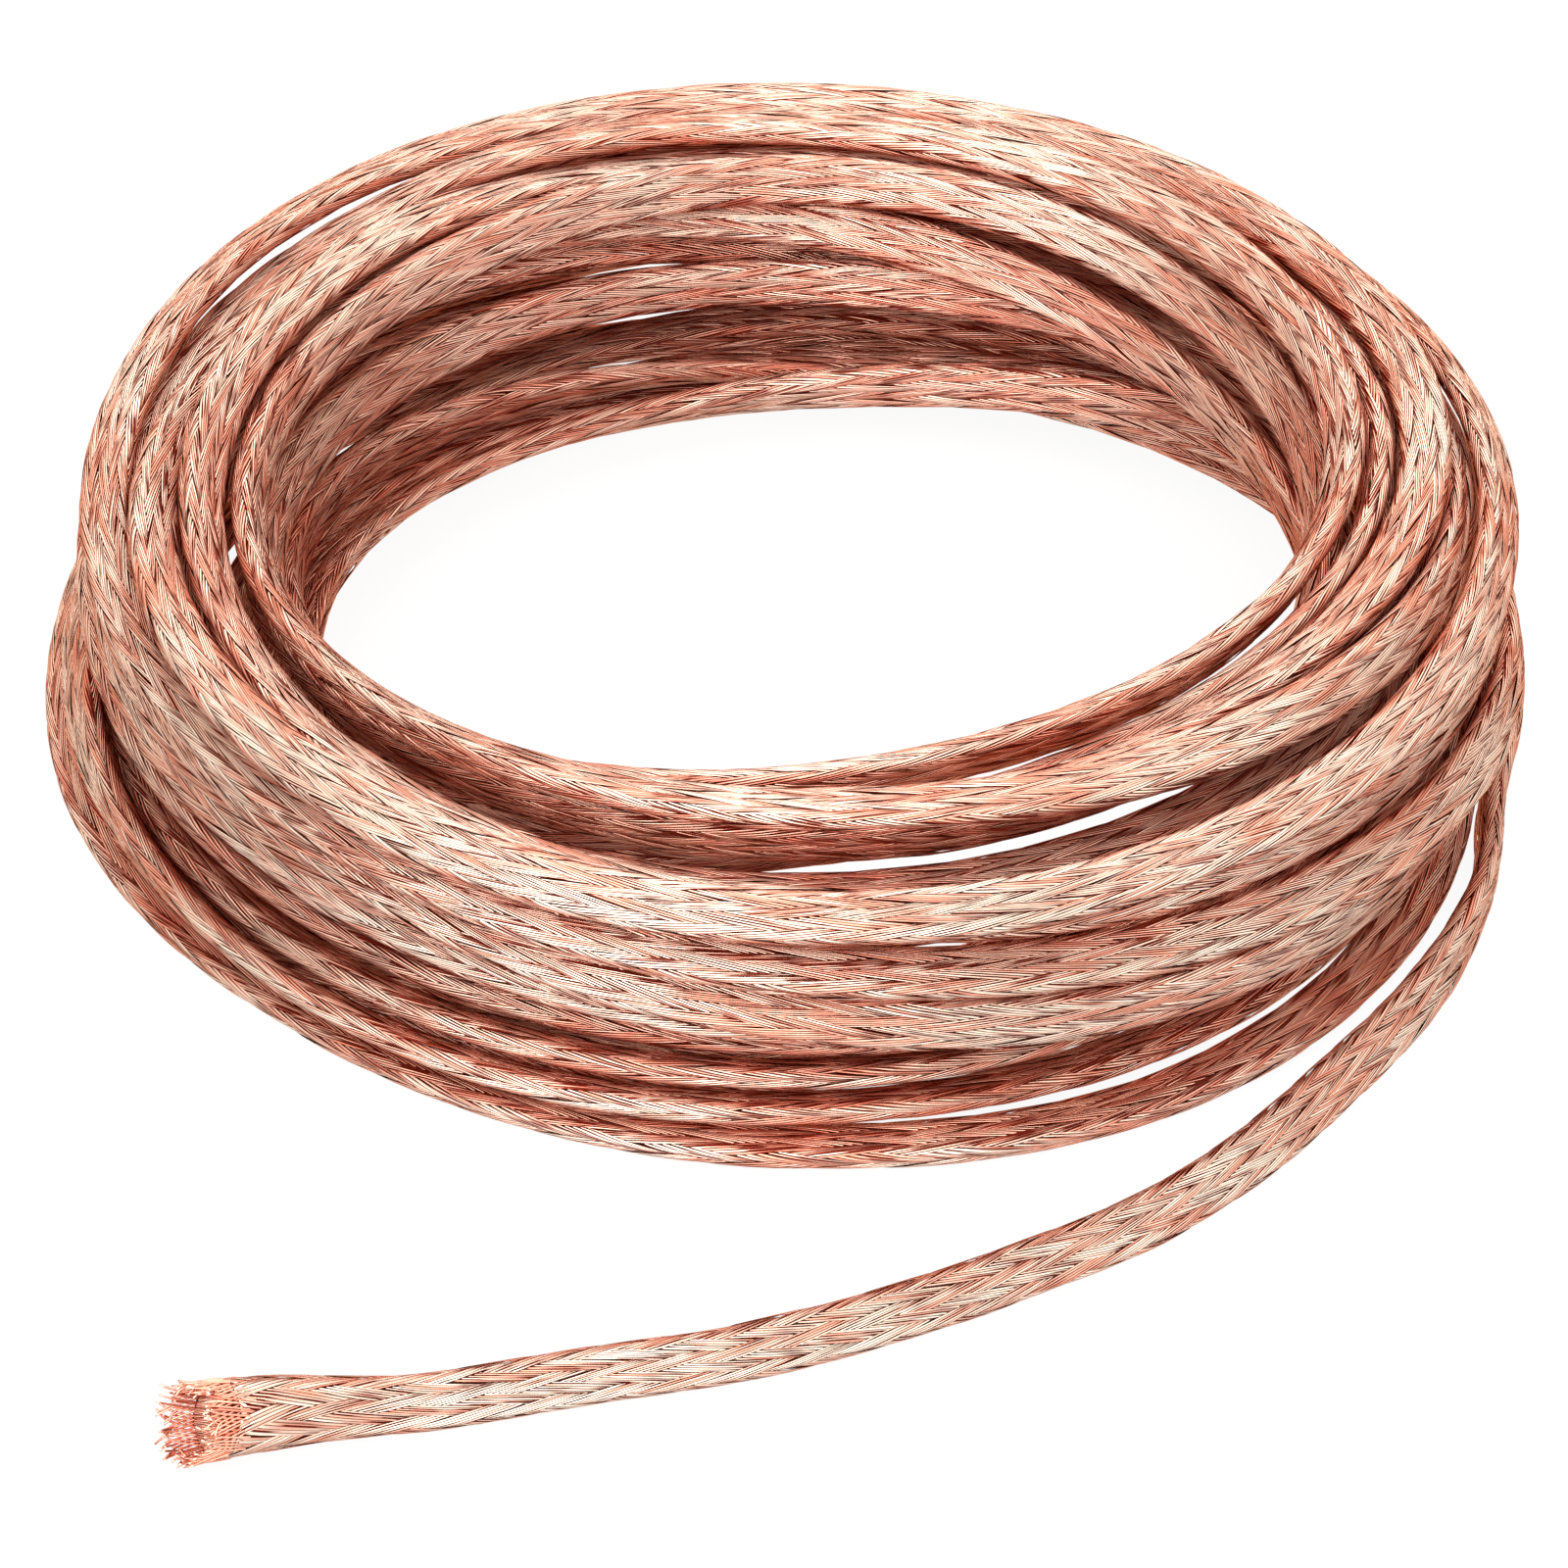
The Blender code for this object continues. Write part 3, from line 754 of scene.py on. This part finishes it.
def build_wire_ends(route, material):
    """The loose wires of the mouth: still plaited up to the cut, then each bent its own way."""
    rng = np.random.default_rng(3)
    count = carriers * wires_per_carrier
    each_way = carriers // 2
    wire = np.arange(count)
    slant = np.where(wire < count // 2, 1.0, -1.0)
    carrier = wire // wires_per_carrier % each_way
    beside = (wire % wires_per_carrier + 0.5) / wires_per_carrier - 0.5
    offset = carrier / each_way + bunch_width * beside / each_way
    offset = offset + wire_spread * rng.standard_normal(count)
    cut = route.cut_place(slant * route.plait_length() / carrier_lead + offset)
    cut = cut - cut_spread * rng.random(count)
    at = cut[:, None] - loose_length * np.linspace(loose_start, 0.0, loose_steps + 1)
    counted = at - route.length + route.plait_length()
    share = slant[:, None] * counted / carrier_lead + offset[:, None]
    spacing = carrier_lead / carriers
    phase = np.where(slant > 0, 2 * carrier - 0.5, 2.5 - 2 * carrier)
    lift = relief * np.cos(math.pi / 2 * (counted / spacing + phase[:, None]))
    plaited = route.surface(at, share, 2 * relief + crown, relief + lift)
    forward = plaited[:, -1] - plaited[:, -2]
    forward /= np.linalg.norm(forward, axis=1)[:, None]
    middle = route.points[-1]
    out = plaited[:, -1] - middle
    out -= (out @ route.along[-1])[:, None] * route.along[-1]
    out /= np.linalg.norm(out, axis=1)[:, None]
    side = np.cross(forward, out)
    length = end_length * (shortest_end + (1 - shortest_end) * rng.random(count))
    flare = flare_spread * rng.standard_normal(count) + flare_lean
    swing = swing_spread * rng.standard_normal(count)
    bend = flare[:, None] * out + swing[:, None] * side
    t = np.linspace(0, 1, end_steps + 1)[None, 1:, None]
    loose = plaited[:, -1:] + t * length[:, None, None] * (forward[:, None] + t * bend[:, None])
    curve = np.concatenate([plaited, loose], axis=1)
    tangent = np.gradient(curve, axis=1)
    tangent /= np.linalg.norm(tangent, axis=2)[..., None]
    x_axis = np.cross(tangent, out[:, None])
    x_axis /= np.linalg.norm(x_axis, axis=2)[..., None]
    y_axis = np.cross(tangent, x_axis)
    angle = np.arange(end_sides) * 2 * math.pi / end_sides
    ring = np.cos(angle)[:, None] * x_axis[:, :, None] + np.sin(angle)[:, None] * y_axis[:, :, None]
    vertices = curve[:, :, None] + wire_diameter / 2 * ring
    rows = curve.shape[1]
    row = np.arange(rows - 1)[:, None] * end_sides
    corner = np.arange(end_sides)[None, :]
    after = (corner + 1) % end_sides
    quads = [row + corner, row + after, row + end_sides + after, row + end_sides + corner]
    quads = np.stack(quads, axis=-1).reshape(-1, 4)
    tip = (rows - 1) * end_sides
    caps = np.array([[tip, tip + 1, tip + 2, tip + 3], [tip, tip + 3, tip + 4, tip + 5]])
    quads = np.concatenate([quads, caps])
    faces = (np.arange(count)[:, None, None] * rows * end_sides + quads[None]).reshape(-1, 4)
    item = new_object("braid_wire_ends", vertices.reshape(-1, 3), faces, material)
    uv = np.stack([wire + bare_side, wire * end_run], axis=-1)
    uv = np.broadcast_to(uv[:, None, None], (count, rows, end_sides, 2))
    write_uv(item, "wires", uv.reshape(-1, 2).copy())
    # Painted shade on the loose wire ends, none at their tips
    painted_shade = np.full((count, rows, end_sides, 2), end_painted_shade)
    painted_shade[:, -1] = 0.0
    write_uv(item, "shade_cover", painted_shade.reshape(-1, 2))
    return item


class Nodes:
    """Short calls for adding and joining shader nodes."""

    def __init__(self, material):
        material.use_nodes = True
        self.tree = material.node_tree
        self.tree.nodes.clear()

    def add(self, kind, **settings):
        node = self.tree.nodes.new(kind)
        for name, value in settings.items():
            setattr(node, name, value)
        return node

    def join(self, source, target):
        self.tree.links.new(source, target)

    def math(self, operation, first, second=0.5, clamp=False):
        node = self.add("ShaderNodeMath", operation=operation, use_clamp=clamp)
        for socket, value in zip(node.inputs, (first, second)):
            if isinstance(value, (int, float)):
                socket.default_value = value
            else:
                self.join(value, socket)
        return node.outputs[0]

    def mix(self, share, first, second, blend="MIX"):
        node = self.add("ShaderNodeMix", data_type="RGBA", blend_type=blend)
        for socket, value in ((node.inputs[0], share), (node.inputs[6], first), (node.inputs[7], second)):
            if isinstance(value, (int, float)):
                socket.default_value = value
            elif isinstance(value, tuple):
                socket.default_value = (*value, 1.0)
            else:
                self.join(value, socket)
        return node.outputs[2]

    def noise(self, vector, scale, detail=2.0):
        node = self.add("ShaderNodeTexNoise")
        node.inputs["Scale"].default_value = scale
        node.inputs["Detail"].default_value = detail
        self.join(vector, node.inputs["Vector"])
        return node.outputs[0]

    def scaled(self, value, gain, middle, clamp=False):
        """A value spread by a gain round its half, and moved to a new middle."""
        node = self.add("ShaderNodeMath", operation="MULTIPLY_ADD", use_clamp=clamp)
        self.join(value, node.inputs[0])
        node.inputs[1].default_value = gain
        node.inputs[2].default_value = middle - 0.5 * gain
        return node.outputs[0]

    def wire_noise(self, number, along, spread, run):
        """Noise of its own for each wire, which changes along it at the rate of run."""
        vector = self.add("ShaderNodeCombineXYZ")
        self.join(self.math("MULTIPLY", number, spread), vector.inputs[0])
        self.join(self.math("MULTIPLY", along, run), vector.inputs[1])
        return self.noise(vector.outputs[0], 1.0, 0.0)


def copper_wire_material(name, bright, dull, roughness):
    """Bare copper wire: round wires side by side, each with its own tint, with painted shade on some parts
    as if they lay deeper, at each wire's edges and where other turns cover the surface.
    """
    material = bpy.data.materials.new(name)
    nodes = Nodes(material)
    uv = nodes.add("ShaderNodeUVMap", uv_map="wires").outputs[0]
    split = nodes.add("ShaderNodeSeparateXYZ")
    nodes.join(uv, split.inputs[0])
    wire, along = split.outputs[0], split.outputs[1]
    inside = nodes.math("FRACT", wire)
    number = nodes.math("FLOOR", wire)
    side = nodes.math("MULTIPLY", nodes.math("SUBTRACT", inside, 0.5), 2.0)
    crest = nodes.math("SQRT", nodes.math("SUBTRACT", 1.0, nodes.math("MULTIPLY", side, side), clamp=True))
    place = nodes.add("ShaderNodeTexCoord").outputs["Object"]
    tint = nodes.wire_noise(number, along, tint_spread, tint_run)
    # Noise for the painted shade on parts of wires that seem to lie deeper
    deep_shade_noise = nodes.wire_noise(number, along, deep_shade_spread, deep_shade_run)
    patches = nodes.noise(place, patch_scale, patch_detail)
    share = nodes.scaled(tint, tint_contrast, dull_share)
    stretch = nodes.wire_noise(number, along, stretch_spread, stretch_run)
    share = nodes.math("ADD", share, nodes.scaled(stretch, stretch_contrast, 0.0))
    share = nodes.math("ADD", share, nodes.scaled(patches, patch_contrast, 0.0), clamp=True)
    painted_shade = nodes.add("ShaderNodeUVMap", uv_map="shade_cover").outputs[0]
    open_color = nodes.mix(share, bright, dull)
    # Painted shade: the colour turns redder and darker where other turns cover the surface
    color = nodes.mix(painted_shade, open_color, nodes.mix(share, painted_shade_bright, painted_shade_dull))
    # Painted shade at each wire's edges, as in the grooves between round wires
    edge = nodes.math("ABSOLUTE", side)
    gain = 1 / (1 - groove_shade_start)
    groove_shade = nodes.math("MULTIPLY", nodes.scaled(edge, gain, 1 - 0.5 * gain, True), groove_shade_strength)
    # Painted shade: random stretches of wires darkened, as if they lay deeper
    deep_shade = nodes.math("MULTIPLY", nodes.scaled(deep_shade_noise, deep_shade_contrast, deep_shade_share, True), deep_shade_darkness)
    deep_shade = nodes.math("MULTIPLY", deep_shade, nodes.math("LESS_THAN", inside, deep_shade_width))
    color = nodes.mix(nodes.math("MAXIMUM", groove_shade, deep_shade), color, crevice_shade_color)
    shader = nodes.add("ShaderNodeBsdfPrincipled")
    nodes.join(color, shader.inputs["Base Color"])
    shader.inputs["Metallic"].default_value = 1.0
    shader.inputs["Specular Tint"].default_value = (*grazing_tint, 1.0)
    rough = nodes.math("MULTIPLY_ADD", share, dull_roughness)
    rough.node.inputs[2].default_value = roughness
    nodes.join(rough, shader.inputs["Roughness"])
    bump = nodes.add("ShaderNodeBump")
    bump.inputs["Strength"].default_value = 1.0
    bump.inputs["Distance"].default_value = wire_diameter / 2
    nodes.join(crest, bump.inputs["Height"])
    nodes.join(bump.outputs[0], shader.inputs["Normal"])
    output = nodes.add("ShaderNodeOutputMaterial")
    nodes.join(shader.outputs[0], output.inputs[0])
    return material


def white_ground(name):
    """White ground that shows a light shadow and stays white in the metal."""
    material = bpy.data.materials.new(name)
    nodes = Nodes(material)
    diffuse = nodes.add("ShaderNodeBsdfDiffuse")
    diffuse.inputs[0].default_value = (*ground_color, 1.0)
    glow = nodes.add("ShaderNodeEmission")
    glow.inputs[0].default_value = (*white, 1.0)
    glow.inputs[1].default_value = 1.0
    ray = nodes.add("ShaderNodeLightPath")
    seen = nodes.math("MAXIMUM", ray.outputs["Is Camera Ray"], ray.outputs["Is Glossy Ray"])
    seen = nodes.math("MAXIMUM", seen, ray.outputs["Is Transmission Ray"])
    mix = nodes.add("ShaderNodeMixShader")
    nodes.join(nodes.math("MULTIPLY", seen, ground_whiteness), mix.inputs[0])
    nodes.join(diffuse.outputs[0], mix.inputs[1])
    nodes.join(glow.outputs[0], mix.inputs[2])
    output = nodes.add("ShaderNodeOutputMaterial")
    nodes.join(mix.outputs[0], output.inputs[0])
    return material


def add_area(name, place, target, size, power):
    """A round area lamp that faces the target."""
    light = bpy.data.lights.new(name, "AREA")
    light.shape = "DISK"
    light.size = size
    light.energy = power
    item = bpy.data.objects.new(name, light)
    bpy.context.collection.objects.link(item)
    item.location = place
    way = item.location - target.location
    item.rotation_euler = way.to_track_quat("Z", "Y").to_euler()


def build_stage():
    """Ground, lamps and world."""
    corners = np.array([(-1, -1, 0), (1, -1, 0), (1, 1, 0), (-1, 1, 0)]) * ground_half_size
    corners[:, 2] = -ground_below
    ground = new_object("ground", corners, np.array([[0, 1, 2, 3]]), white_ground("white_ground"))
    target = bpy.data.objects.new("lamp_target", None)
    bpy.context.collection.objects.link(target)
    target.location = lamp_aim
    for name, place, size, power in lamps:
        add_area(name, place, target, size, power)
    world = bpy.data.worlds.new("studio")
    bpy.context.scene.world = world
    nodes = Nodes(world)
    ray = nodes.add("ShaderNodeLightPath")
    color = nodes.mix(ray.outputs["Is Camera Ray"], warm_shade, white)
    background = nodes.add("ShaderNodeBackground")
    nodes.join(color, background.inputs[0])
    power = nodes.math("MAXIMUM", ray.outputs["Is Camera Ray"], surround_strength)
    nodes.join(power, background.inputs[1])
    output = nodes.add("ShaderNodeOutputWorld")
    nodes.join(background.outputs[0], output.inputs[0])


def build_camera(shift):
    """The photograph's camera, moved with the part by what centred it."""
    camera = bpy.data.cameras.new("camera")
    camera.sensor_width = sensor_width
    camera.lens = sensor_width * pixels_per_metre * camera_distance / photo_side
    item = bpy.data.objects.new("camera", camera)
    bpy.context.collection.objects.link(item)
    aim = np.array([-shift[0], -aim_before_middle - shift[1], 0.0])
    back = np.array([0.0, -math.cos(camera_elevation), math.sin(camera_elevation)])
    item.location = aim + camera_distance * back
    item.rotation_euler = (math.pi / 2 - camera_elevation, 0.0, 0.0)
    bpy.context.scene.camera = item


def main():
    for item in list(bpy.data.objects):
        bpy.data.objects.remove(item)
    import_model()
    route = Route()
    build_camera(route.shift)
    build_stage()
    wires = copper_wire_material("bare_copper_wires", bright_copper, dull_copper, wire_roughness)
    shaded = copper_wire_material("shaded_copper", shaded_bright, shaded_dull, shaded_roughness)
    shade_cover = ShadeCover(route)
    core, core_place = build_core(route, shade_cover, shaded, wires)
    pieces = [core, *build_floats(route, shade_cover, wires), build_wire_ends(route, wires)]
    for piece in pieces:
        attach(piece, "root")
    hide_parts("braid_coil", "braid_tail")
    bpy.context.scene.view_settings.view_transform = "Standard"


main()
